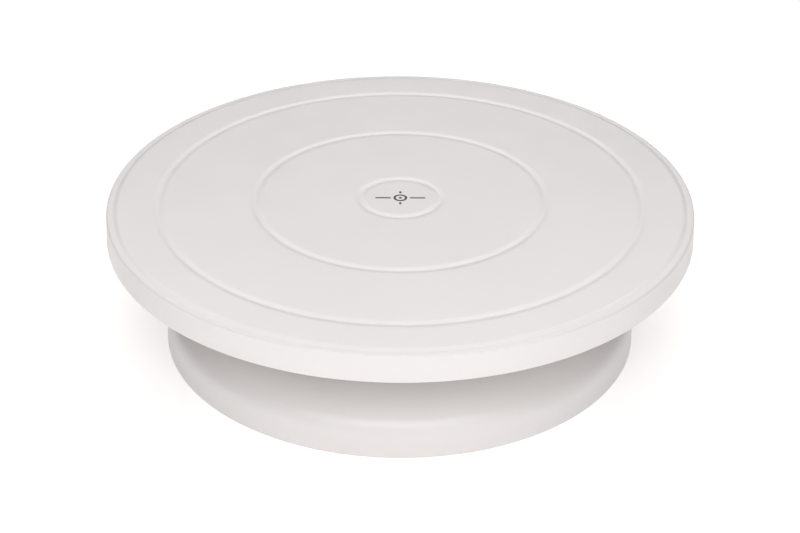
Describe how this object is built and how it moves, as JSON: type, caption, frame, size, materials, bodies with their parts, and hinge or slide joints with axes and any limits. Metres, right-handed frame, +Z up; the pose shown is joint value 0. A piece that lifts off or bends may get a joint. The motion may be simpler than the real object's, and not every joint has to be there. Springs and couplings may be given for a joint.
{
  "type": "cake turntable",
  "caption": "Cake-decorating turntable: a round flat plate with shallow ring grooves and a down-turned rim, spinning on caged steel balls over a wide bell-shaped base.",
  "frame": {"origin": "on the table, under the centre of the base: the middle of the feet's lowest plane", "axes": "+Z up along the spin axis; +X and +Y are level, and +X passes through a foot"},
  "size_m": [0.28, 0.28, 0.072],
  "materials": {
    "white_plastic": "glossy injection-moulded white",
    "nylon": "natural nylon, dull",
    "ball_steel": "polished bearing steel",
    "zinc_steel": "bright zinc plate",
    "rubber": "grey rubber, dull",
    "printed_mark": "dark grey pad print"
  },
  "bodies": {
    "base": {"base_housing": "white_plastic", "rubber_foot_01": "rubber", "rubber_foot_02": "rubber", "rubber_foot_03": "rubber", "rubber_foot_04": "rubber", "rubber_foot_05": "rubber", "rubber_foot_06": "rubber"},
    "turntable": {"turntable_plate": "white_plastic", "retaining_washer": "zinc_steel", "retaining_screw": "zinc_steel"},
    "cage": {"ball_cage": "nylon"},
    "ball_01": {"steel_ball_01": "ball_steel"},
    "ball_02": {"steel_ball_02": "ball_steel"},
    "ball_03": {"steel_ball_03": "ball_steel"},
    "ball_04": {"steel_ball_04": "ball_steel"},
    "ball_05": {"steel_ball_05": "ball_steel"},
    "ball_06": {"steel_ball_06": "ball_steel"},
    "ball_07": {"steel_ball_07": "ball_steel"},
    "ball_08": {"steel_ball_08": "ball_steel"},
    "ball_09": {"steel_ball_09": "ball_steel"},
    "ball_10": {"steel_ball_10": "ball_steel"},
    "ball_11": {"steel_ball_11": "ball_steel"},
    "ball_12": {"steel_ball_12": "ball_steel"},
    "ball_13": {"steel_ball_13": "ball_steel"},
    "ball_14": {"steel_ball_14": "ball_steel"},
    "ball_15": {"steel_ball_15": "ball_steel"},
    "ball_16": {"steel_ball_16": "ball_steel"}
  },
  "joints": [
    {"name": "plate_spin", "type": "hinge", "parent": "base", "child": "turntable", "pos_m": [0, 0, 0.0644], "axis": [0, 0, 1], "continuous": true},
    {"name": "cage_spin", "type": "hinge", "parent": "base", "child": "cage", "pos_m": [0, 0, 0.0644], "axis": [0, 0, 1], "continuous": true},
    {"name": "ball_01_roll", "type": "hinge", "parent": "cage", "child": "ball_01", "pos_m": [0.042, 0, 0.0644], "axis": [1, 0, 0], "continuous": true},
    {"name": "ball_02_roll", "type": "hinge", "parent": "cage", "child": "ball_02", "pos_m": [0.0388, 0.01607, 0.0644], "axis": [0.9239, 0.3827, 0], "continuous": true},
    {"name": "ball_03_roll", "type": "hinge", "parent": "cage", "child": "ball_03", "pos_m": [0.0297, 0.0297, 0.0644], "axis": [0.7071, 0.7071, 0], "continuous": true},
    {"name": "ball_04_roll", "type": "hinge", "parent": "cage", "child": "ball_04", "pos_m": [0.01607, 0.0388, 0.0644], "axis": [0.3827, 0.9239, 0], "continuous": true},
    {"name": "ball_05_roll", "type": "hinge", "parent": "cage", "child": "ball_05", "pos_m": [0, 0.042, 0.0644], "axis": [0, 1, 0], "continuous": true},
    {"name": "ball_06_roll", "type": "hinge", "parent": "cage", "child": "ball_06", "pos_m": [-0.01607, 0.0388, 0.0644], "axis": [-0.3827, 0.9239, 0], "continuous": true},
    {"name": "ball_07_roll", "type": "hinge", "parent": "cage", "child": "ball_07", "pos_m": [-0.0297, 0.0297, 0.0644], "axis": [-0.7071, 0.7071, 0], "continuous": true},
    {"name": "ball_08_roll", "type": "hinge", "parent": "cage", "child": "ball_08", "pos_m": [-0.0388, 0.01607, 0.0644], "axis": [-0.9239, 0.3827, 0], "continuous": true},
    {"name": "ball_09_roll", "type": "hinge", "parent": "cage", "child": "ball_09", "pos_m": [-0.042, 0, 0.0644], "axis": [-1, 0, 0], "continuous": true},
    {"name": "ball_10_roll", "type": "hinge", "parent": "cage", "child": "ball_10", "pos_m": [-0.0388, -0.01607, 0.0644], "axis": [-0.9239, -0.3827, 0], "continuous": true},
    {"name": "ball_11_roll", "type": "hinge", "parent": "cage", "child": "ball_11", "pos_m": [-0.0297, -0.0297, 0.0644], "axis": [-0.7071, -0.7071, 0], "continuous": true},
    {"name": "ball_12_roll", "type": "hinge", "parent": "cage", "child": "ball_12", "pos_m": [-0.01607, -0.0388, 0.0644], "axis": [-0.3827, -0.9239, 0], "continuous": true},
    {"name": "ball_13_roll", "type": "hinge", "parent": "cage", "child": "ball_13", "pos_m": [0, -0.042, 0.0644], "axis": [0, -1, 0], "continuous": true},
    {"name": "ball_14_roll", "type": "hinge", "parent": "cage", "child": "ball_14", "pos_m": [0.01607, -0.0388, 0.0644], "axis": [0.3827, -0.9239, 0], "continuous": true},
    {"name": "ball_15_roll", "type": "hinge", "parent": "cage", "child": "ball_15", "pos_m": [0.0297, -0.0297, 0.0644], "axis": [0.7071, -0.7071, 0], "continuous": true},
    {"name": "ball_16_roll", "type": "hinge", "parent": "cage", "child": "ball_16", "pos_m": [0.0388, -0.01607, 0.0644], "axis": [0.9239, -0.3827, 0], "continuous": true}
  ],
  "couplings": [
    {"joint": "cage_spin", "follows": "plate_spin", "ratio": 0.5},
    {"joint": "ball_01_roll", "follows": "plate_spin", "ratio": -7},
    {"joint": "ball_02_roll", "follows": "plate_spin", "ratio": -7},
    {"joint": "ball_03_roll", "follows": "plate_spin", "ratio": -7},
    {"joint": "ball_04_roll", "follows": "plate_spin", "ratio": -7},
    {"joint": "ball_05_roll", "follows": "plate_spin", "ratio": -7},
    {"joint": "ball_06_roll", "follows": "plate_spin", "ratio": -7},
    {"joint": "ball_07_roll", "follows": "plate_spin", "ratio": -7},
    {"joint": "ball_08_roll", "follows": "plate_spin", "ratio": -7},
    {"joint": "ball_09_roll", "follows": "plate_spin", "ratio": -7},
    {"joint": "ball_10_roll", "follows": "plate_spin", "ratio": -7},
    {"joint": "ball_11_roll", "follows": "plate_spin", "ratio": -7},
    {"joint": "ball_12_roll", "follows": "plate_spin", "ratio": -7},
    {"joint": "ball_13_roll", "follows": "plate_spin", "ratio": -7},
    {"joint": "ball_14_roll", "follows": "plate_spin", "ratio": -7},
    {"joint": "ball_15_roll", "follows": "plate_spin", "ratio": -7},
    {"joint": "ball_16_roll", "follows": "plate_spin", "ratio": -7}
  ]
}
